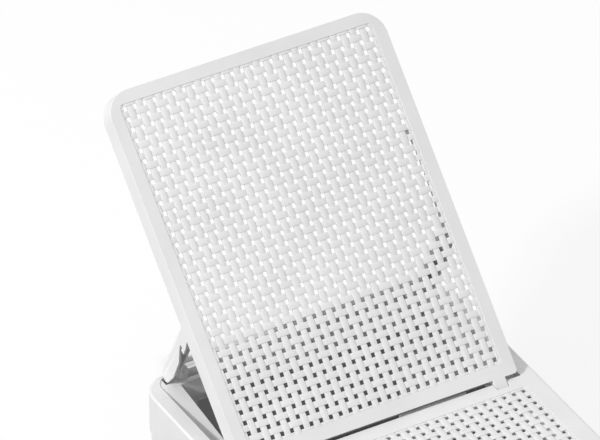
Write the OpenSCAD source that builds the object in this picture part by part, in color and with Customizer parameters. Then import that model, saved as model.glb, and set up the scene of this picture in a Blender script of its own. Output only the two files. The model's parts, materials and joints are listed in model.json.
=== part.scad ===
/* [Overall] */
// Width over the two side beams
frame_w = 700; // [690:2:720]
// Height of the frame's flat top above the floor
seat_h = 330; // [290:5:400]
// From the hinge axis to the head end of the frame
head_len = 360; // [356:1:366]

/* [Weave] */
// Spacing of the woven strips
pitch = 22; // [21.6:0.1:22.2]
// Width of one woven strip
strip_w = 11.6; // [9:0.2:14]
// Thickness of the woven inserts
weave_t = 4; // [3:0.5:4.5]
// Depth of the crosswise strips below the lengthwise ones
cross_sink = 0.5; // [0.2:0.1:1]
// Least width of the seat's border beside the weave
seat_side = 8; // [6:0.5:10]
// Hole rows along the seat
seat_rows = 48; // [40:1:50]
// Least width of the backrest's border beside the weave
back_side = 24; // [22:0.5:26]
// Hole rows along the backrest
back_rows = 33; // [30:1:34]
// Woven edge beyond the middle of the outer holes
weave_edge = 10; // [8:0.5:11]
// Radius of a woven insert's corners
weave_r = 8; // [4:1:9]
// Depth of a woven insert's top below its frame's face
weave_sink = 2.4; // [1:0.2:3]
// Width of the lip that carries a woven insert
lip_w = 3; // [2:0.5:4]
// Thickness of the borders round the woven inserts
border_t = 8; // [7.5:0.5:8.5]
// Depth of the ribs below a woven insert
rib_h = 14; // [8:1:16]
// Thickness of a rib
rib_t = 3; // [2:0.5:4]

/* [Frame] */
// Width of the flat top of a side beam
land_w = 32; // [30:1:36]
// Width of the flat top at the foot end
foot_land_w = 32; // [30:1:50]
// Depth of the outer skirt
skirt_h = 92; // [80:1:120]
// Depth of the frame's inner walls
inner_wall_h = 56; // [50:1:70]
// Wall of the mouldings
wall = 4; // [3:0.5:5]
// Radius of the frame's corners seen from above
corner_r = 60; // [55:1:68]
// Radius of the clear space's corners at the head end
inner_r = 30; // [26:1:34]
// Rounding along the outer top edge
edge_r = 5; // [3:0.5:8]
// Thickness of the wall across the head end
head_wall_t = 8; // [6:1:10]
// From either end of the frame to the side beam's seams
seam_in = 72; // [70:1:110]
// From the hinge axis to the middle of the first row of seat holes
seat_start = 42; // [40:1:48]
// How far the seat's border runs past the hinge axis
border_past = 4; // [2:0.5:6]
// Width of the seat's border at the foot end
foot_border = 10; // [8:1:30]
// Depth of the seat's cross beams
cross_h = 34; // [24:1:46]
// Width of the ledge beside the well
ledge_w = 40; // [36:1:46]
// Thickness of the ledge
ledge_t = 5; // [4:0.5:6]
// Depth of the wall along the ledge's inner edge
apron_h = 22; // [16:1:30]
// Width of the slot for the prop
slot_w = 22; // [20:1:24]
// Thickness of the bar between the well and the slot
well_bar_t = 13; // [10:1:16]
// Depth of the bar between the well and the slot
well_bar_h = 43; // [36:1:50]

/* [Legs] */
// Thickness of a corner leg's wall
leg_t = 5; // [4:0.5:7]
// Length of a leg's arms beyond the corner's curve
leg_arm = 42; // [25:1:60]
// Thickness of a foot pad
pad_t = 6; // [4:1:10]
// Width of a foot pad beyond the leg's inner side
pad_over = 7; // [3:1:12]

/* [Backrest] */
// Raised angle of the backrest
back_angle = 44.6; // [42:0.1:46]
// Height of the backrest's face above the hinge axis
face_rise = 13; // [12.5:0.5:14]
// From the hinge axis to the backrest's lower edge
back_start = 19; // [17:0.5:22]
// From the backrest's lower edge to the middle of the first holes
back_foot = 38.3; // [36:0.1:42]
// From the middle of the last holes to the backrest's top edge
back_top = 36.5; // [34:0.1:42]
// Gap between the backrest and a side beam
back_gap = 5.8; // [5:0.1:7]
// Depth of the rim round the backrest
rim_h = 43; // [41:1:45]
// Wall of the backrest's rim
rim_t = 5; // [4:0.5:6]
// Radius of the backrest's upper corners
back_r = 54; // [40:1:70]
// Radius of the backrest's lower corners
foot_r = 8; // [4:1:12]

/* [Hinge] */
// Width of a hinge tongue
tongue_w = 27.5; // [22:0.5:34]
// From the backrest's side to the middle of a tongue
tongue_in = 44.2; // [40:0.2:60]
// Reach of a tongue's flat face past the hinge axis
tongue_past = 2; // [0:0.5:4]
// From the hinge axis to the end of the notch round a tongue
notch_reach = 15; // [14.5:0.5:18]
// Radius of a tongue's knuckle
knuckle_r = 10; // [8:0.5:11]
// Radius of a hinge pin
pin_r = 3; // [2.5:0.1:3.2]
// Thickness of a hinge cheek
cheek_t = 10; // [6:1:12]
// How far a hinge cheek runs past the hinge axis
cheek_past = 9; // [7:0.5:10]
// Depth of a hinge cheek below the hinge axis
cheek_drop = 16; // [12:1:20]

/* [Prop] */
// Angle of the prop in the raised pose
prop_angle = 114; // [112:0.5:115]
// From the head end of the frame to the prop's pivot
pivot_in = 25; // [24:0.5:26]
// Height of the prop's pivot above the frame's flat top
pivot_up = 14; // [13:0.5:15]
// From the backrest's face down to the middle of the rack pin
pin_drop = 37; // [36:0.5:38]
// Gap between a prop leg and the backrest's rim
prop_gap = 6.2; // [5:0.2:8]
// Width of a prop leg over both flanges
leg_w = 31; // [29:1:33]
// From the end of a prop leg's web to its tip
web_short = 60; // [50:1:80]
// Thickness of the prop's walls
prop_t = 5; // [4:0.5:6]
// Radius of a prop leg's lower end
leg_end_r = 13; // [12:0.5:14]
// Radius of a prop leg's tip
leg_tip_r = 10; // [9:0.5:10.5]
// Reach of a leg's outer flange beside its axis
leg_bulge = 21; // [18:1:22]
// Along a leg, from its pivot to the upper end of that reach
bulge_end = 84; // [70:1:90]
// Along a leg, from its pivot to its waist
waist_at = 123; // [118:1:126]
// Reach of a leg's flange at the waist
waist_w = 7; // [6.5:0.5:9]
// Reach of the tooth on a leg's outer flange
tooth_w = 25; // [22:0.5:25]
// Reach of a leg's outer flange beside its tip
tip_w = 16; // [12:1:16]
// Width of the notch between the waist and the tooth
gap_w = 8; // [6:0.5:9]
// Reach of a leg's back, a little above the pivot
leg_calf = 17; // [14:0.5:18]
// Reach of a leg's inner flange beside its axis
fin_bulge = 7; // [6:1:10]
// Radius of the pivot's pin
pivot_pin_r = 5; // [4:0.5:6]
// Thickness of a pivot block
block_t = 13; // [10:1:16]
// Radius of a pivot block's lug
lug_r = 10; // [9:0.5:11]
// Width of a pivot block's stem past the pivot
lug_stem = 9; // [7:0.5:9.5]
// Depth of a pivot block below the frame's flat top
block_h = 40; // [30:1:50]
// Radius of the pin that rides along the rack
rack_pin_r = 6; // [5:0.5:6.5]
// Thickness of a rack
rack_t = 6; // [5:0.5:8]
// Length of a rack past its first notch
rack_heel = 24; // [20:1:28]
// Length of a rack past its last notch
rack_toe = 12; // [8:1:16]
// Number of notches in a rack, the end ones left out
notch_n = 5; // [4:1:7]
// Depth of a rack's notches
notch_depth = 3.5; // [2:0.5:4]
// Height of the crossbar above the prop's pivot
bar_up = 12; // [11:1:16]
// Width of the prop's crossbar
bar_w = 20; // [16:1:24]
// Thickness of the crossbar's upper lip
bar_t = 4; // [3:0.5:5]
// Depth of the crossbar's upper lip
bar_lip = 13; // [8:1:16]
// Radius of the dimple over the pivot
dimple_r = 2.5; // [1.5:0.5:4]

/* [Clearances] */
// Radial clearance of a running bore
run_clear = 0.05; // [0.02:0.01:0.1]
// Side clearance of a moving part
side_clear = 1; // [0.6:0.1:1.4]
// Gap between moving faces that come to rest on each other
rest_clear = 0.4; // [0.3:0.1:0.6]
// Gap above the frame's flat top in the lowest pose
low_clear = 0.9; // [0.6:0.1:1.4]

/* [Hidden] */
$fn = 64;
eps = 0.01;
join = 0.5;
white = "#efefef";
cross_n = 4;
inner_foot_r = 20;
rack_steps = 24;

half_w = frame_w / 2;
inner_half = half_w - land_w;
seat_run = (seat_rows - 1) * pitch;
back_run = (back_rows - 1) * pitch;
foot_reach = seat_start + seat_run + weave_edge + foot_border + foot_land_w;
back_half = inner_half - back_gap;
// Hole columns: as many as fit between the borders, always an even number
function columns(half, side_w) = 2 * floor((half - side_w - weave_edge) / pitch + 0.5);
seat_cols = columns(inner_half, seat_side);
back_cols = columns(back_half, back_side);
tongue_x = back_half - tongue_in;
// Lengths along the backrest, from the hinge axis
back_first = back_start + back_foot;
back_end = back_first + back_run + back_top;
rim_low = face_rise - rim_h;
back_reach = back_end * cos(back_angle) - rim_low * sin(back_angle);
// The origin is on the floor, under the middle of the raised lounger's box
hinge_y = (foot_reach - max(back_reach, head_len)) / 2;
hinge_z = seat_h - face_rise;
head_y = hinge_y + head_len;
foot_y = hinge_y - foot_reach;
slot_head_y = head_y - head_wall_t;
slot_foot_y = slot_head_y - slot_w;
well_bar_y = slot_foot_y - well_bar_t;
pivot_out = head_len - pivot_in;
pivot_y = hinge_y + pivot_out;
pivot_z = seat_h + pivot_up;
pivot_rise = pivot_z - hinge_z;
seat_first_y = hinge_y - seat_start - seat_run;
weave_foot_y = seat_first_y - weave_edge;
weave_head_y = hinge_y - seat_start + weave_edge;
seat_weave_z = seat_h - weave_sink - weave_t;
back_weave_v = face_rise - weave_sink - weave_t;
leg_out = back_half - rim_t - prop_gap;
leg_in = leg_out - leg_w;
block_out = leg_in - 2 * side_clear;
block_in = block_out - block_t;
rack_x = (leg_out + leg_in) / 2;

// Lowest pose: the rim's lower edge stays just above the inner corner of the frame's flat top
corner_run = head_len - head_wall_t - inner_r + sqrt(pow(inner_r, 2) - pow(inner_r - back_gap, 2));
low_rise = face_rise + low_clear;
low_angle = atan(low_rise / corner_run) + asin(-rim_low / norm([corner_run, low_rise]));

function turn(p, a) = [p[0] * cos(a) - p[1] * sin(a), p[0] * sin(a) + p[1] * cos(a)];
// The prop's pivot, seen along and across the backrest when it stands at theta
function pivot_in_back(theta) = turn([pivot_out, pivot_rise], -theta);
pin_v = face_rise - pin_drop;
prop_len = (pin_v - pivot_in_back(back_angle)[1]) / sin(prop_angle - back_angle);
// The prop turns in a fixed ratio to the backrest, so that its pin ends as deep as it began
low_prop = low_angle + asin((pin_v - pivot_in_back(low_angle)[1]) / prop_len);
prop_ratio = (prop_angle - low_prop) / (back_angle - low_angle);
function pin_path(theta) = let (psi = prop_angle - (back_angle - theta) * prop_ratio)
    pivot_in_back(theta) + prop_len * [cos(psi - theta), sin(psi - theta)];
function unit(v) = v / norm(v);
function path_normal(theta) = let (t = unit(pin_path(theta - 0.5) - pin_path(theta + 0.5)))
    [-t[1], t[0]];
function crest(theta) = pin_path(theta) + (rack_pin_r + rest_clear) * path_normal(theta);
// Height of the rim's lower edge in the lowest pose, from the hinge axis
function rim_line(y) = y * tan(low_angle) + rim_low / cos(low_angle);
// The back of a prop leg, from its axis, at a distance from the pivot
function leg_back(a) = join - leg_end_r + (leg_end_r - leg_tip_r) * a / prop_len;

module on_back() translate([0, hinge_y, hinge_z]) rotate([back_angle, 0, 0]) children();
module at_pivot() translate([0, pivot_y, pivot_z]) children();
module on_prop() at_pivot() rotate([prop_angle, 0, 0]) children();
// Extrudes a side outline, drawn along the length and upwards, from x_from to x_to
module across(x_from, x_to) translate([x_from, 0, 0]) rotate([90, 0, 90])
    linear_extrude(x_to - x_from) children();
module side(s) {
    if (s < 0) mirror([1, 0, 0]) children();
    else children();
}
module toward(e) {
    if (e < 0) mirror([0, 1, 0]) children();
    else children();
}

// ---- outlines seen from above ----

// A rectangle from low to high with one radius at its foot corners and one at its head corners
module plate_outline(low, high, r_foot, r_head) {
    span = high - low;
    translate([low[0], low[1] + r_foot]) square([span[0], span[1] - r_foot - r_head]);
    translate([low[0] + r_foot, low[1]]) square([span[0] - 2 * r_foot, r_foot + eps]);
    translate([low[0] + r_head, high[1] - r_head - eps]) square([span[0] - 2 * r_head, r_head + eps]);
    for (x = [low[0] + r_foot, high[0] - r_foot]) translate([x, low[1] + r_foot]) circle(r_foot);
    for (x = [low[0] + r_head, high[0] - r_head]) translate([x, high[1] - r_head]) circle(r_head);
}

module frame_outline(inset) plate_outline([inset - half_w, foot_y + inset],
    [half_w - inset, head_y - inset], corner_r - inset, corner_r - inset);

module inner_outline(grow) plate_outline([-inner_half - grow, foot_y + foot_land_w - grow],
    [inner_half + grow, slot_head_y + grow], inner_foot_r + grow, inner_r + grow);

module band(y_low, y_high) translate([-frame_w, y_low]) square([2 * frame_w, y_high - y_low]);

// ---- frame ----

// The rounding along an outer top edge, drawn inwards from the edge's corner
module edge_section() intersection() {
    translate([-edge_r, -edge_r]) circle(edge_r);
    translate([-edge_r, -edge_r]) square(edge_r);
}
module edge_straight(run) rotate([90, 0, 0]) linear_extrude(run) edge_section();
module edge_corner() rotate_extrude(angle = 90) translate([corner_r, 0]) edge_section();

// The rounded top edge of one end: two corners, the stubs up to the seams and the run between
module end_edge(end_y, e) translate([0, end_y, seat_h]) toward(e) {
    for (s = [-1, 1]) side(s) {
        translate([half_w - corner_r, -corner_r, 0]) {
            edge_corner();
            translate([corner_r, 0, 0]) edge_straight(seam_in - corner_r);
        }
    }
    translate([corner_r - half_w, 0, 0]) rotate([0, 0, 90]) edge_straight(frame_w - 2 * corner_r);
}

// Flat top, skirt and inner wall of one end, between y_low and y_high
module end_shell(y_low, y_high) {
    translate([0, 0, seat_h - wall]) linear_extrude(wall) intersection() {
        difference() { frame_outline(edge_r); inner_outline(0); }
        band(y_low, y_high);
    }
    translate([0, 0, seat_h - skirt_h]) linear_extrude(skirt_h - edge_r) intersection() {
        difference() { frame_outline(0); frame_outline(wall); }
        band(y_low, y_high);
    }
    translate([0, 0, seat_h - inner_wall_h]) linear_extrude(inner_wall_h - wall + eps) intersection() {
        difference() { inner_outline(wall); inner_outline(0); }
        band(y_low, y_high);
    }
}

module side_beam(s) color(white) side(s) translate([half_w, head_y - seam_in, seat_h])
    rotate([90, 0, 0]) linear_extrude(head_y - foot_y - 2 * seam_in) {
        edge_section();
        translate([-wall, -skirt_h]) square([wall, skirt_h - edge_r + eps]);
        translate([-land_w, -wall]) square([land_w - edge_r, wall]);
        translate([-land_w, -inner_wall_h]) square([wall, inner_wall_h - wall + eps]);
    }

module head_beam() color(white) {
    end_shell(head_y - seam_in, head_y);
    end_edge(head_y, 1);
    translate([inner_r - inner_half, slot_head_y, seat_h - inner_wall_h])
        cube([2 * (inner_half - inner_r), head_wall_t, inner_wall_h - wall + eps]);
}

module foot_beam() color(white) {
    end_shell(foot_y, foot_y + seam_in);
    end_edge(foot_y, -1);
}

// ---- seat ----

module weave_outline(cols, rows, inset) {
    half = (cols - 1) * pitch / 2 + weave_edge - inset;
    plate_outline([-half, inset - weave_edge], [half, (rows - 1) * pitch + weave_edge - inset],
        weave_r - inset, weave_r - inset);
}

// Clear space round the hinge tongues, cut through the seat's border
module tongue_notch() for (s = [-1, 1])
    translate([s * tongue_x - tongue_w / 2 - side_clear, hinge_y - notch_reach, 0])
        cube([tongue_w + 2 * side_clear, 2 * notch_reach, 2 * seat_h]);

// A flat border round the woven seat, with a lip below the insert's edge
module seat_border() color(white) difference() {
    translate([0, 0, seat_h - border_t]) linear_extrude(border_t) intersection() {
        inner_outline(0);
        band(foot_y, hinge_y + border_past);
    }
    translate([0, seat_first_y, seat_weave_z]) linear_extrude(2 * border_t)
        weave_outline(seat_cols, seat_rows, 0);
    translate([0, seat_first_y, 0]) linear_extrude(seat_h + border_t)
        weave_outline(seat_cols, seat_rows, lip_w);
    tongue_notch();
}

// What is cut away between two lengthwise strips: a row of holes, and the sink of the cross strips
module hole_column(rows) {
    hole = pitch - strip_w;
    across(-hole / 2, hole / 2) difference() {
        translate([-hole / 2, -weave_t]) square([(rows - 1) * pitch + hole, 3 * weave_t]);
        for (j = [1:rows - 1]) translate([(j - 1) * pitch + hole / 2, cross_sink])
            square([strip_w, weave_t - 2 * cross_sink]);
    }
}

// A woven insert with its holes in a square lattice, the first row of holes at y = 0
module lattice(cols, rows) difference() {
    linear_extrude(weave_t) weave_outline(cols, rows, 0);
    for (i = [0:cols - 1]) translate([(i - (cols - 1) / 2) * pitch, 0, 0]) hole_column(rows);
}

// Ribs below every fourth strip, out to both sides of the middle
module ribs(run) for (k = [-10, -6, -2, 2, 6, 10])
    translate([k * pitch - rib_t / 2, 0, -rib_h]) cube([rib_t, run, rib_h]);

module seat_weave() color(white) translate([0, seat_first_y, seat_weave_z]) {
    lattice(seat_cols, seat_rows);
    ribs(seat_run);
}

// Closes the seat towards the well and carries the hinge pins
module hinge_beam() color(white) difference() {
    union() {
        translate([-inner_half, weave_head_y - wall, seat_h - inner_wall_h])
            cube([2 * inner_half, wall, inner_wall_h - border_t]);
        for (s = [-1, 1], e = [-1, 1])
            translate([s * tongue_x + e * (tongue_w / 2 + side_clear + cheek_t / 2) - cheek_t / 2,
                weave_head_y - wall / 2, hinge_z - cheek_drop])
                cube([cheek_t, hinge_y + cheek_past - weave_head_y + wall / 2,
                    seat_h - border_t - hinge_z + cheek_drop]);
    }
    for (s = [-1, 1]) hinge_line(s, 1) circle(pin_r);
}

// Along the hinge axis, through both cheeks of one tongue
module hinge_line(s, over) {
    half = tongue_w / 2 + side_clear + cheek_t + over;
    translate([0, hinge_y, hinge_z]) across(s * tongue_x - half, s * tongue_x + half) children();
}

module hinge_pin(s) color("silver") hinge_line(s, 0) circle(pin_r);

module cross_beam(k) color(white) translate([-inner_half,
    weave_foot_y + (weave_head_y - weave_foot_y) * k / (cross_n + 1), seat_weave_z - rib_h - cross_h])
    cube([2 * inner_half, wall, cross_h]);

// ---- well under the backrest ----

// Stands between the well and the prop's slot
module well_bar() color(white) {
    top = hinge_z + rim_line(well_bar_y - hinge_y) - rest_clear;
    translate([0, 0, top - well_bar_h]) linear_extrude(well_bar_h) intersection() {
        inner_outline(0);
        band(well_bar_y, slot_foot_y);
    }
}

// The sloping ledge below the rim's lowest place, with a wall along its inner edge
module ledge_side(depth) translate([hinge_y, hinge_z - rest_clear]) {
    end = well_bar_y - hinge_y;
    polygon([[border_past, rim_line(border_past)], [end, rim_line(end)],
        [end, rim_line(end) - depth], [border_past, rim_line(border_past) - depth]]);
}
module ledge(s) color(white) side(s) {
    across(inner_half - ledge_w, inner_half) ledge_side(ledge_t);
    across(inner_half - ledge_w, inner_half - ledge_w + wall) ledge_side(apron_h);
}

// ---- legs ----

// The skirt's inner side at one corner, down to an inset from the outer outline
module corner_ring(inset) intersection() {
    difference() { frame_outline(wall); frame_outline(inset); }
    translate([half_w - corner_r - leg_arm, head_y - corner_r - leg_arm])
        square(corner_r + leg_arm);
}
module at_corner(s, e) side(s) translate([0, e < 0 ? head_y + foot_y : 0, 0]) toward(e) children();

module leg(s, e) color(white) at_corner(s, e) translate([0, 0, pad_t])
    linear_extrude(seat_h - inner_wall_h - pad_t) corner_ring(wall + leg_t);
module pad(s, e) color("gainsboro") at_corner(s, e)
    linear_extrude(pad_t) corner_ring(wall + leg_t + pad_over);

// ---- backrest ----

module back_outline(inset) plate_outline([inset - back_half, back_start + inset],
    [back_half - inset, back_end - inset], max(foot_r - inset, 1), back_r - inset);

// Border and rim in one, open at the back, with a lip below the woven insert's edge
module back_frame() color(white) on_back() difference() {
    translate([0, 0, rim_low]) linear_extrude(rim_h) back_outline(0);
    translate([0, 0, rim_low - 1]) linear_extrude(rim_h - border_t + 1) back_outline(rim_t);
    translate([0, back_first, back_weave_v]) linear_extrude(border_t)
        weave_outline(back_cols, back_rows, 0);
    translate([0, back_first, rim_low]) linear_extrude(rim_h + 1)
        weave_outline(back_cols, back_rows, lip_w);
}

module back_weave() color(white) on_back() translate([0, back_first, back_weave_v]) {
    lattice(back_cols, back_rows);
    ribs(back_run);
}

// A flat strap from the backrest's lower edge down to the knuckle
module tongue(s) color(white) on_back() translate([s * tongue_x, 0, 0]) difference() {
    union() {
        across(-tongue_w / 2, tongue_w / 2) circle(knuckle_r);
        across(-tongue_w / 2, tongue_w / 2) polygon([[join - knuckle_r, 0], [-tongue_past, face_rise],
            [back_start, face_rise], [back_start, rim_low / 2], [0, join - knuckle_r]]);
    }
    across(-tongue_w, tongue_w) circle(pin_r + run_clear);
}

// ---- racks ----

// The rack's lower edge keeps the pin's clearance from the pin's path
module rack(s) color(white) side(s) on_back() across(rack_x - rack_t / 2, rack_x + rack_t / 2)
    difference() {
        top = face_rise - border_t;
        from = pin_path(back_angle)[0];
        to = pin_path(low_angle)[0];
        heel = from - rack_pin_r - rest_clear - 0.6;
        polygon(concat([[from - rack_heel, top], [to + rack_toe, top],
            [to + rack_toe, crest(low_angle)[1]]],
            [for (k = [0:rack_steps]) crest(low_angle + (back_angle - low_angle) * k / rack_steps)],
            [[heel, crest(back_angle)[1]], [heel, pin_v - 3], [from - rack_heel, pin_v - 3]]));
        for (k = [1:notch_n - 1]) {
            theta = back_angle - k * (back_angle - low_angle) / notch_n;
            translate(pin_path(theta) + notch_depth * path_normal(theta))
                circle(rack_pin_r + rest_clear);
        }
    }

// ---- prop ----

// Side outline of a leg's flange: along the leg, then towards the foot end of the lounger
module flange(bulge) {
    circle(leg_end_r);
    translate([prop_len, 0]) circle(leg_tip_r);
    polygon([[0, leg_back(0)], [prop_len, leg_back(prop_len)], [prop_len, leg_tip_r - join],
        [waist_at, min(bulge, waist_w)], [bulge_end, bulge],
        [2 * leg_end_r, bulge - join], [0, min(bulge, leg_end_r) - join]]);
}
// The outer flange: fuller at the back, with a pointed tooth above the waist
module outer_flange() {
    flange(leg_bulge);
    polygon([[leg_end_r / 2, leg_back(0)], [3 * leg_end_r, -leg_calf],
        [prop_len, leg_back(prop_len)], [prop_len, 0], [leg_end_r / 2, 0]]);
    difference() {
        polygon([[waist_at, 0], [waist_at - leg_tip_r / 4, tooth_w], [waist_at + 2 * gap_w, tooth_w],
            [prop_len, tip_w], [prop_len, 0]]);
        for (a = [-1, 1]) translate([waist_at + a * gap_w / 2, waist_w + gap_w / 2])
            circle(gap_w / 2);
        translate([waist_at - gap_w / 2, waist_w]) square([gap_w, gap_w]);
    }
}

// A channel section: two flanges and the web that joins them along their backs
module prop_leg(s) color(white) side(s) on_prop() difference() {
    web_end = prop_len - web_short;
    union() {
        across(leg_out - prop_t, leg_out) outer_flange();
        across(leg_in, leg_in + prop_t) flange(fin_bulge);
        across(leg_in, leg_out) polygon([[0, leg_back(0)], [web_end, leg_back(web_end)],
            [web_end, leg_back(web_end) + prop_t], [0, leg_back(0) + prop_t]]);
    }
    across(leg_in - 1, leg_in + 2 * prop_t) circle(pivot_pin_r + run_clear);
    across(leg_in - 1, leg_out + 1) translate([prop_len, 0]) circle(rack_pin_r);
    across(leg_out - dimple_r / 2, leg_out + 1) circle(dimple_r);
}

module rack_pin(s) color("silver") side(s) on_prop()
    across(leg_in, leg_out) translate([prop_len, 0]) circle(rack_pin_r);

// Ties the two legs together just above their pivots
module prop_crossbar() color(white) on_prop() {
    translate([-leg_in, bar_up, leg_back(0)]) cube([2 * leg_in, bar_w, prop_t]);
    translate([-leg_in, bar_up + bar_w - bar_t, leg_back(0)]) cube([2 * leg_in, bar_t, bar_lip]);
}

// Stands in the slot beside a prop leg and holds its pivot pin
module pivot_block(s) color(white) side(s) across(block_in, block_out) difference() {
    low = seat_h - block_h;
    union() {
        translate([pivot_y, pivot_z]) circle(lug_r);
        translate([slot_foot_y, low])
            square([pivot_y + lug_stem - slot_foot_y, block_h + pivot_up]);
        translate([slot_foot_y, low]) square([slot_w, block_h - 2 * side_clear]);
    }
    translate([pivot_y, pivot_z]) circle(pivot_pin_r);
}

module prop_pin(s) color("silver") side(s) at_pivot()
    across(block_in, leg_in + prop_t) circle(pivot_pin_r);

side_beam(-1);  // side_beam_left
side_beam(1);  // side_beam_right
head_beam();
foot_beam();
seat_border();
seat_weave();
hinge_beam();
well_bar();
ledge(-1);  // ledge_left
ledge(1);  // ledge_right
cross_beam(1);  // cross_beam_1
cross_beam(2);  // cross_beam_2
cross_beam(3);  // cross_beam_3
cross_beam(4);  // cross_beam_4
leg(-1, 1);  // leg_head_left
leg(1, 1);  // leg_head_right
leg(-1, -1);  // leg_foot_left
leg(1, -1);  // leg_foot_right
pad(-1, 1);  // pad_head_left
pad(1, 1);  // pad_head_right
pad(-1, -1);  // pad_foot_left
pad(1, -1);  // pad_foot_right
hinge_pin(-1);  // hinge_pin_left
hinge_pin(1);  // hinge_pin_right
pivot_block(-1);  // pivot_block_left
pivot_block(1);  // pivot_block_right
prop_pin(-1);  // prop_pin_left
prop_pin(1);  // prop_pin_right
back_frame();
back_weave();
tongue(-1);  // tongue_left
tongue(1);  // tongue_right
rack(-1);  // rack_left
rack(1);  // rack_right
prop_leg(-1);  // prop_leg_left
prop_leg(1);  // prop_leg_right
prop_crossbar();
rack_pin(-1);  // rack_pin_left
rack_pin(1);  // rack_pin_right
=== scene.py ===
import json
import math
import bpy
import bmesh
from mathutils import Matrix, Vector


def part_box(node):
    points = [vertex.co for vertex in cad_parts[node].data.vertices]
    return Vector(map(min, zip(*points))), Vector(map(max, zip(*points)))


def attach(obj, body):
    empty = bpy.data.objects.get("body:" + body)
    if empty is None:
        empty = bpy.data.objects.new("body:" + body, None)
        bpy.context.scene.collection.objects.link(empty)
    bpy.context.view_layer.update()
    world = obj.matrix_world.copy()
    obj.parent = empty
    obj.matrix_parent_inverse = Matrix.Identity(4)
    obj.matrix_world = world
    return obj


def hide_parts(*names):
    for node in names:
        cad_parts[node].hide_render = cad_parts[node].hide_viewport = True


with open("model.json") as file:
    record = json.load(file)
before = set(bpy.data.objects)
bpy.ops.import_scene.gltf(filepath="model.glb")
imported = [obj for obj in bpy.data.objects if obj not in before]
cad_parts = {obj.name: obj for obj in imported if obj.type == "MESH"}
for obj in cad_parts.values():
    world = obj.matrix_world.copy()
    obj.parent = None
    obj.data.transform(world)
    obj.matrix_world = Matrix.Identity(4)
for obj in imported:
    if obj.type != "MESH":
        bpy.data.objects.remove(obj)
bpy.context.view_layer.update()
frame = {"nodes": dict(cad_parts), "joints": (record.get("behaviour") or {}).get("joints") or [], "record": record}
nodes = frame["nodes"]
record = frame["record"]
joints = {joint["name"]: joint for joint in frame["joints"]}
bodyOf = {node: body for body, members in record["behaviour"]["bodies"].items()
          for node in members}
slotOf = {entry["node"]: entry["material_slot"] for entry in record["subparts"]}
hinge = Vector(joints["back_recline"]["pos_m"])
reclineAngle = math.radians(44.6)  # the raised backrest, from level
millimetre = 0.001
print("frame loaded:", len(nodes), "nodes")


class Socket:  # one output of a shader node, so that shader maths reads as an expression
    def __init__(self, graph, output):
        self.graph = graph
        self.output = output

    def maths(self, operation, first, second):
        return self.graph.add("ShaderNodeMath", {"operation": operation}, [first, second])

    def __add__(self, other):
        return self.maths("ADD", self, other)

    def __radd__(self, other):
        return self.maths("ADD", other, self)

    def __sub__(self, other):
        return self.maths("SUBTRACT", self, other)

    def __rsub__(self, other):
        return self.maths("SUBTRACT", other, self)

    def __mul__(self, other):
        return self.maths("MULTIPLY", self, other)

    def __rmul__(self, other):
        return self.maths("MULTIPLY", other, self)

    def atLeast(self, other):
        return self.maths("MAXIMUM", self, other)

    def atMost(self, other):
        return self.maths("MINIMUM", self, other)


class Graph:  # the node tree of a material or world, emptied and then filled
    def __init__(self, tree):
        self.tree = tree
        self.tree.nodes.clear()

    def add(self, kind, settings=None, values=None, output=0):
        node = self.tree.nodes.new(kind)
        for key, value in (settings or {}).items():
            if key == "stops":
                self.setStops(node.color_ramp, value)
            else:
                setattr(node, key, value)
        pairs = values.items() if isinstance(values, dict) else enumerate(values or [])
        for key, value in pairs:
            if isinstance(value, Socket):
                self.tree.links.new(value.output, node.inputs[key])
            else:
                node.inputs[key].default_value = value
        return Socket(self, node.outputs[output]) if len(node.outputs) else None

    def split(self, kind, names, values=None):  # several outputs of one node
        outputs = self.add(kind, None, values).output.node.outputs
        return [Socket(self, outputs[name]) for name in names]

    def mixColour(self, share, first, second):
        return self.add("ShaderNodeMix", {"data_type": "RGBA"},
                        {0: share, 6: first, 7: second}, output=2)

    def setStops(self, ramp, stops):
        while len(ramp.elements) < len(stops):
            ramp.elements.new(0.5)
        for element, (place, grey) in zip(ramp.elements, stops):
            element.position = place
            element.color = (grey, grey, grey, 1)


def newMaterial(name):
    material = bpy.data.materials.new(name)
    material.use_nodes = True
    return material


# Moulded polypropylene: a fine satin grain, with a faint cloudiness from the mould
plasticSettings = {
    "colour": (0.80, 0.80, 0.798, 1),
    "deepColour": (0.765, 0.765, 0.765, 1),
    "roughness": 0.46,
    "roughnessSpread": 0.10,
    "refraction": 1.49,
    "cloudScale": 9.0,
    "cloudDetail": 3.0,
    "cloudStops": [(0.35, 0.0), (0.65, 1.0)],
    "grainScale": 1400.0,
    "flowScale": 38.0,
    "fineDetail": 2.0,
    "bumpStrength": 0.5,
    "grainDepth": 0.00004,
    "flowDepth": 0.0002,
}
pinChanges = {"colour": (0.70, 0.70, 0.70, 1), "deepColour": (0.66, 0.66, 0.66, 1), "roughness": 0.3}
padChanges = {"colour": (0.42, 0.42, 0.42, 1), "deepColour": (0.36, 0.36, 0.36, 1),
              "roughness": 0.72, "grainDepth": 0.00012}


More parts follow.
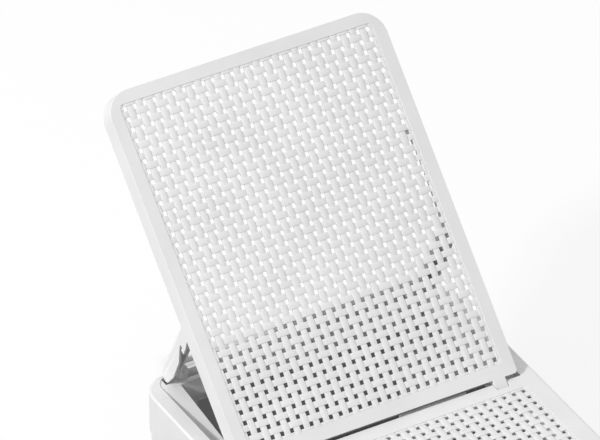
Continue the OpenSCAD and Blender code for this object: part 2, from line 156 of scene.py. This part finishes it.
def plasticMaterial(name, changes=None):
    look = {**plasticSettings, **(changes or {})}
    material = newMaterial(name)
    graph = Graph(material.node_tree)
    place = graph.add("ShaderNodeTexCoord", output="Object")

    def noise(scale, detail):
        return graph.add("ShaderNodeTexNoise", None,
                         {"Vector": place, "Scale": scale, "Detail": detail})

    def bump(height, depth, under=None):
        values = {"Strength": look["bumpStrength"], "Distance": depth, "Height": height}
        if under:
            values["Normal"] = under
        return graph.add("ShaderNodeBump", None, values)

    cloud = noise(look["cloudScale"], look["cloudDetail"])
    grain = noise(look["grainScale"], look["fineDetail"])
    flow = noise(look["flowScale"], look["fineDetail"])
    clouds = graph.add("ShaderNodeValToRGB", {"stops": look["cloudStops"]}, {"Fac": cloud})
    colour = graph.mixColour(clouds, look["deepColour"], look["colour"])
    roughness = look["roughness"] + (grain - 0.5) * look["roughnessSpread"]
    normal = bump(grain, look["grainDepth"], bump(flow, look["flowDepth"]))
    shader = graph.add("ShaderNodeBsdfPrincipled", None,
                       {"Base Color": colour, "Roughness": roughness, "Normal": normal,
                        "IOR": look["refraction"]})
    graph.add("ShaderNodeOutputMaterial", None, {"Surface": shader})
    return material


materials = {
    "moulding": plasticMaterial("mouldedPlastic"),
    "pin": plasticMaterial("pinPlastic", pinChanges),
    "pad": plasticMaterial("padRubber", padChanges),
}
for nodeName, node in nodes.items():
    node.data.materials.clear()
    node.data.materials.append(materials[slotOf[nodeName]])
print("materials made:", ", ".join(materials))


def newPiece(name, bm, slot, body, smoothAngle=40):
    mesh = bpy.data.meshes.new(name)
    bm.to_mesh(mesh)
    bm.free()
    mesh.shade_smooth()
    mesh.set_sharp_from_angle(angle=math.radians(smoothAngle))
    mesh.materials.append(materials[slot])
    piece = bpy.data.objects.new(name, mesh)
    bpy.context.scene.collection.objects.link(piece)
    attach(piece, body)
    return piece


# Mouldings get their softened edges on a merged copy of the solid, in millimetres
softEdges = {
    "back_frame": 1.6, "seat_border": 0.7, "side_beam_left": 0.9, "side_beam_right": 0.9,
    "head_beam": 0.9, "foot_beam": 0.9, "tongue_left": 1.2, "tongue_right": 1.2,
    "ledge_left": 0.8, "ledge_right": 0.8, "well_bar": 1.5, "hinge_beam": 0.6,
    "prop_leg_left": 1.0, "prop_leg_right": 1.0, "prop_crossbar": 1.2,
    "pivot_block_left": 0.8, "pivot_block_right": 0.8, "rack_left": 0.6, "rack_right": 0.6,
    "leg_head_left": 1.0, "leg_head_right": 1.0, "leg_foot_left": 1.0, "leg_foot_right": 1.0,
    "pad_head_left": 0.8, "pad_head_right": 0.8, "pad_foot_left": 0.8, "pad_foot_right": 0.8,
    "cross_beam_1": 0.6, "cross_beam_2": 0.6, "cross_beam_3": 0.6, "cross_beam_4": 0.6,
}
softSettings = {"mergeDistance": 0.00002, "flatAngle": 0.8, "edgeAngle": 28, "segments": 3,
                "joinReach": 1.3, "joinDrop": 0.02, "joinNear": 0.05}
levelled = Matrix.Rotation(-reclineAngle, 4, "X") @ Matrix.Translation(-hinge)  # backrest laid flat
joinNear = softSettings["joinNear"] * millimetre
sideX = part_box("seat_border")[1].x
tongueEnd = max((levelled @ vert.co).y for vert in nodes["tongue_left"].data.vertices)


def mergedCopy(nodeName):
    bm = bmesh.new()
    bm.from_mesh(nodes[nodeName].data)
    bmesh.ops.remove_doubles(bm, verts=bm.verts, dist=softSettings["mergeDistance"])
    return bm


def seatJoin(point):  # the seat's border runs flush into the side beams
    if abs(abs(point.x) - sideX) < joinNear:
        return Vector((math.copysign(1, point.x), 0, 0))


def tongueJoin(point):  # a tongue runs flush into the backrest's lower edge
    if abs((levelled @ point).y - tongueEnd) < joinNear:
        return levelled.inverted().to_3x3() @ Vector((0, 1, 0))


def noJoin(point):
    return None


flushJoins = {"seat_border": seatJoin, "tongue_left": tongueJoin, "tongue_right": tongueJoin}


def softened(nodeName, width):
    look = softSettings
    bm = mergedCopy(nodeName)
    bmesh.ops.dissolve_limit(bm, angle_limit=math.radians(look["flatAngle"]),
                             verts=bm.verts, edges=bm.edges)
    joined = flushJoins.get(nodeName, noJoin)
    sharp = [edge for edge in bm.edges if edge.is_manifold
             and edge.calc_face_angle() > math.radians(look["edgeAngle"])
             and not all(joined(vert.co) for vert in edge.verts)]
    bmesh.ops.bevel(bm, geom=sharp, offset=width * millimetre, offset_type="OFFSET", affect="EDGES",
                    segments=look["segments"], profile=0.5, material=-1, clamp_overlap=True)
    bmesh.ops.recalc_face_normals(bm, faces=bm.faces)
    for vert in bm.verts:
        outwards = joined(vert.co)
        if outwards:
            vert.co += outwards * look["joinReach"] * millimetre
            vert.co.z -= look["joinDrop"] * millimetre
    piece = newPiece(nodeName + "_moulding", bm, slotOf[nodeName], bodyOf[nodeName])
    piece.modifiers.new("evenShading", "WEIGHTED_NORMAL").keep_sharp = True
    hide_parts(nodeName)


for nodeName, width in softEdges.items():
    softened(nodeName, width)
print("softened mouldings:", len(softEdges))


# Small plates close the prop's slot beyond the legs, between the well bar and the head wall
slotPlateSettings = {"inside": 0.3035, "thickness": 0.004, "edge": 0.0006, "tuck": 0.0003,
                     "edgeCuts": 2}


def slotPlate(name, side):
    look = slotPlateSettings
    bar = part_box("well_bar")[1]
    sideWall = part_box("side_beam_right")[0].x
    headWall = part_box("pivot_block_right")[1].y
    low = Vector((look["inside"], bar.y - look["tuck"], bar.z - look["thickness"]))
    high = Vector((sideWall + look["tuck"], headWall + look["tuck"], bar.z))
    bm = bmesh.new()
    bmesh.ops.create_cube(bm, size=1)
    bmesh.ops.scale(bm, vec=high - low, verts=bm.verts)
    bmesh.ops.translate(bm, vec=(low + high) / 2, verts=bm.verts)
    bmesh.ops.bevel(bm, geom=bm.edges[:], offset=look["edge"], offset_type="OFFSET", affect="EDGES",
                    segments=look["edgeCuts"], profile=0.5, material=-1, clamp_overlap=True)
    bmesh.ops.scale(bm, vec=(side, 1, 1), verts=bm.verts)
    bmesh.ops.recalc_face_normals(bm, faces=bm.faces)
    newPiece(name, bm, "moulding", "frame")


slotPlate("slot_plate_right", 1)
slotPlate("slot_plate_left", -1)


# The backrest's insert, with the ribs below it cut down to low stiffeners
insertSettings = {"underTop": 8.0, "smoothAngle": 30}


def insertWithLowRibs(nodeName):
    look = insertSettings
    bm = mergedCopy(nodeName)
    bmesh.ops.transform(bm, matrix=levelled, verts=bm.verts)
    lowest = max(vert.co.z for vert in bm.verts) - look["underTop"] * millimetre
    for vert in bm.verts:
        vert.co.z = max(vert.co.z, lowest)
    bmesh.ops.transform(bm, matrix=levelled.inverted(), verts=bm.verts)
    piece = newPiece(nodeName + "_insert", bm, slotOf[nodeName], bodyOf[nodeName], look["smoothAngle"])
    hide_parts(nodeName)


insertWithLowRibs("back_weave")
print("slot plates and back insert made")


# The raised strands of the woven inserts, one pad at each crossing, in millimetres
weaveSettings = {
    "pitch": 22.0, "strip": 11.6, "edge": 10.0, "crossSink": 0.15,
    "endGap": 0.45, "widen": 0.6, "rimGap": 0.15,
    "crown": 1.5, "crownPower": 4, "tip": 0.1, "bevel": 0.3, "bevelDrop": 0.12, "root": -0.9,
    "lengthCuts": 6, "widthCuts": 3, "smallest": 1.5, "smoothAngle": 50,
}
backSettings = {"firstRow": 57.3, "top": 10.6, "cols": 26, "rows": 33, "phase": 1}
seatSettings = {"cols": 28, "rows": 48, "phase": 0}


def clipped(centre, half, low, high):
    return max(centre - half, low), min(centre + half, high)


def strand(bm, centre, alongY, limits):
    look = weaveSettings
    halfLong = look["pitch"] - look["strip"] / 2 - look["endGap"]
    halfWide = look["strip"] / 2 + look["widen"]
    axis = 1 if alongY else 0
    longSpan = clipped(centre[axis], halfLong, *limits[axis])
    wideSpan = clipped(centre[1 - axis], halfWide, *limits[1 - axis])
    if min(longSpan[1] - longSpan[0], wideSpan[1] - wideSpan[0]) < look["smallest"]:
        return
    base = 0 if alongY else -look["crossSink"]
    grid = bmesh.ops.create_grid(bm, x_segments=look["lengthCuts"], y_segments=look["widthCuts"], size=1)
    for vert in grid["verts"]:
        along, across = (vert.co.x + 1) / 2, vert.co.y
        atSide = abs(across) > 0.5
        inset = 0 if atSide else look["bevel"]
        place = [0, 0]
        place[axis] = longSpan[0] + (longSpan[1] - longSpan[0]) * along
        place[1 - axis] = wideSpan[0] + inset if across < 0 else wideSpan[1] - inset
        reach = (place[axis] - centre[axis]) / halfLong
        rise = (look["crown"] - look["tip"]) * (1 - reach ** look["crownPower"])
        height = look["tip"] + rise - (look["bevelDrop"] if atSide else 0)
        vert.co = Vector((place[0], place[1], base + height))


def weave(name, body, place, look):
    pitch = weaveSettings["pitch"]
    margin = weaveSettings["edge"] - weaveSettings["rimGap"]
    halfAcross = (look["cols"] - 1) / 2 * pitch + margin
    limits = ((-halfAcross, halfAcross), (-margin, (look["rows"] - 1) * pitch + margin))
    bm = bmesh.new()
    for row in range(look["rows"] + 1):
        for col in range(look["cols"] + 1):
            alongY = (row + col + look["phase"]) % 2 == 0
            strand(bm, ((col - look["cols"] / 2) * pitch, (row - 0.5) * pitch), alongY, limits)
    rims = [edge for edge in bm.edges if edge.is_boundary]
    for part in bmesh.ops.extrude_edge_only(bm, edges=rims)["geom"]:
        if isinstance(part, bmesh.types.BMVert):
            part.co.z = weaveSettings["root"]
    bmesh.ops.holes_fill(bm, edges=[edge for edge in bm.edges if edge.is_boundary], sides=0)
    bmesh.ops.recalc_face_normals(bm, faces=bm.faces)
    bmesh.ops.transform(bm, matrix=place @ Matrix.Scale(millimetre, 4), verts=bm.verts)
    return newPiece(name, bm, "moulding", body, weaveSettings["smoothAngle"])


backOrigin = Vector((0, backSettings["firstRow"], backSettings["top"])) * millimetre
backPlace = (Matrix.Translation(hinge) @ Matrix.Rotation(reclineAngle, 4, "X")
             @ Matrix.Translation(backOrigin))
backStrands = weave("back_strands", "backrest", backPlace, backSettings)
seatLow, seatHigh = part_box("seat_weave")
seatPlace = Matrix.Translation((0, seatLow.y + weaveSettings["edge"] * millimetre, seatHigh.z))
seatStrands = weave("seat_strands", "frame", seatPlace, seatSettings)
strandFaces = [len(piece.data.polygons) for piece in (backStrands, seatStrands)]
print("woven strands:", strandFaces[0], "and", strandFaces[1], "faces")


# A pale floor with a painted shadow below the object, a darker colour between these limits in metres
floorSettings = {
    "reach": 40.0, "seen": (0.98, 0.98, 0.98, 1), "paintedShadowColour": (0.09, 0.09, 0.09, 1),
    "bounced": (0.20, 0.20, 0.20, 1), "white": 1.0, "whiteShare": 0.8,
    "left": -0.30, "slant": 0.577, "slantFrom": 0.477, "right": 0.46,
    "foot": -0.80, "head": 0.97, "soft": 0.12,
}


def whiteForView(graph, shader, strength, share):
    camera, glossy, through = graph.split(
        "ShaderNodeLightPath", ("Is Camera Ray", "Is Glossy Ray", "Is Transmission Ray"))
    seen = (camera + glossy + through).atMost(1.0)
    glow = graph.add("ShaderNodeEmission", None, {"Color": (1, 1, 1, 1), "Strength": strength})
    return graph.add("ShaderNodeMixShader", None, {0: seen * share, 1: shader, 2: glow})


def outsidePaintedShadow(graph):  # 0 in the painted shadow below the object, 1 out on the open floor
    look = floorSettings
    place = graph.add("ShaderNodeTexCoord", output="Object")
    across, along = graph.split("ShaderNodeSeparateXYZ", ("X", "Y"), {"Vector": place})
    pastHead = (along - look["slantFrom"]).atLeast(0.0)
    gap = look["left"] + pastHead * look["slant"] - across
    for other in (across - look["right"], look["foot"] - along, along - look["head"]):
        gap = gap.atLeast(other)
    return graph.add("ShaderNodeMapRange", {"interpolation_type": "SMOOTHSTEP"},
                     {"Value": gap, "From Min": 0.0, "From Max": look["soft"]})


def makeFloor():
    look = floorSettings
    bm = bmesh.new()
    bmesh.ops.create_grid(bm, x_segments=1, y_segments=1, size=look["reach"])
    mesh = bpy.data.meshes.new("floor")
    bm.to_mesh(mesh)
    bm.free()
    floor = bpy.data.objects.new("floor", mesh)
    bpy.context.scene.collection.objects.link(floor)
    material = newMaterial("paleFloorWithPaintedShadow")
    graph = Graph(material.node_tree)
    away = outsidePaintedShadow(graph)
    bounced, = graph.split("ShaderNodeLightPath", ("Is Diffuse Ray",))
    # the colour the camera sees below the object is a painted shadow, darker than the open floor
    seen = graph.mixColour(away, look["paintedShadowColour"], look["seen"])
    colour = graph.mixColour(bounced, seen, look["bounced"])
    diffuse = graph.add("ShaderNodeBsdfDiffuse", None, {"Color": colour})
    surface = whiteForView(graph, diffuse, look["white"], away * look["whiteShare"])
    graph.add("ShaderNodeOutputMaterial", None, {"Surface": surface})
    mesh.materials.append(material)


# Soft light from all round, and one low lamp from the left
worldSettings = {"strength": 0.66, "white": 1.0}
keySettings = {"direction": (-0.81, -0.12, 0.57), "distance": 8.0, "size": 0.9, "power": 440}


def makeWorld():
    look = worldSettings
    world = bpy.data.worlds.new("softWorld")
    bpy.context.scene.world = world
    world.use_nodes = True
    graph = Graph(world.node_tree)
    light = graph.add("ShaderNodeBackground", None,
                      {"Color": (1, 1, 1, 1), "Strength": look["strength"]})
    surface = whiteForView(graph, light, look["white"], 1.0)
    graph.add("ShaderNodeOutputWorld", None, {"Surface": surface})


def makeLamp(name, look, aim):
    lamp = bpy.data.lights.new(name, "AREA")
    lamp.shape = "DISK"
    lamp.size = look["size"]
    lamp.energy = look["power"]
    holder = bpy.data.objects.new(name, lamp)
    holder.location = aim + Vector(look["direction"]).normalized() * look["distance"]
    holder.rotation_euler = (aim - holder.location).to_track_quat("-Z", "Y").to_euler()
    holder.visible_camera = False
    bpy.context.scene.collection.objects.link(holder)


# The camera looks down at the head half from the left of the foot end
cameraSettings = {"lens": 600, "sensor": 36, "distance": 19.7, "clipEnd": 78.8,
                  "azimuth": -30, "elevation": 36,
                  "sideways": -0.0016, "pastHinge": 0.3237, "aboveSeat": 0.294}


def makeCamera(aim):
    look = cameraSettings
    turn = math.radians(look["azimuth"])
    rise = math.radians(look["elevation"])
    level = math.cos(rise)
    away = Vector((math.sin(turn) * level, -math.cos(turn) * level, math.sin(rise)))
    camera = bpy.data.cameras.new("camera")
    camera.lens = look["lens"]
    camera.sensor_width = look["sensor"]
    camera.clip_end = look["clipEnd"]
    holder = bpy.data.objects.new("camera", camera)
    holder.location = aim + away * look["distance"]
    holder.rotation_euler = (-away).to_track_quat("-Z", "Y").to_euler()
    bpy.context.scene.collection.objects.link(holder)
    bpy.context.scene.camera = holder


viewAim = Vector((cameraSettings["sideways"], hinge.y + cameraSettings["pastHinge"],
                  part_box("side_beam_left")[1].z + cameraSettings["aboveSeat"]))
makeFloor()
makeWorld()
makeLamp("keyLamp", keySettings, viewAim)
makeCamera(viewAim)
bpy.context.scene.view_settings.view_transform = "Standard"
print("floor, lights and camera set")
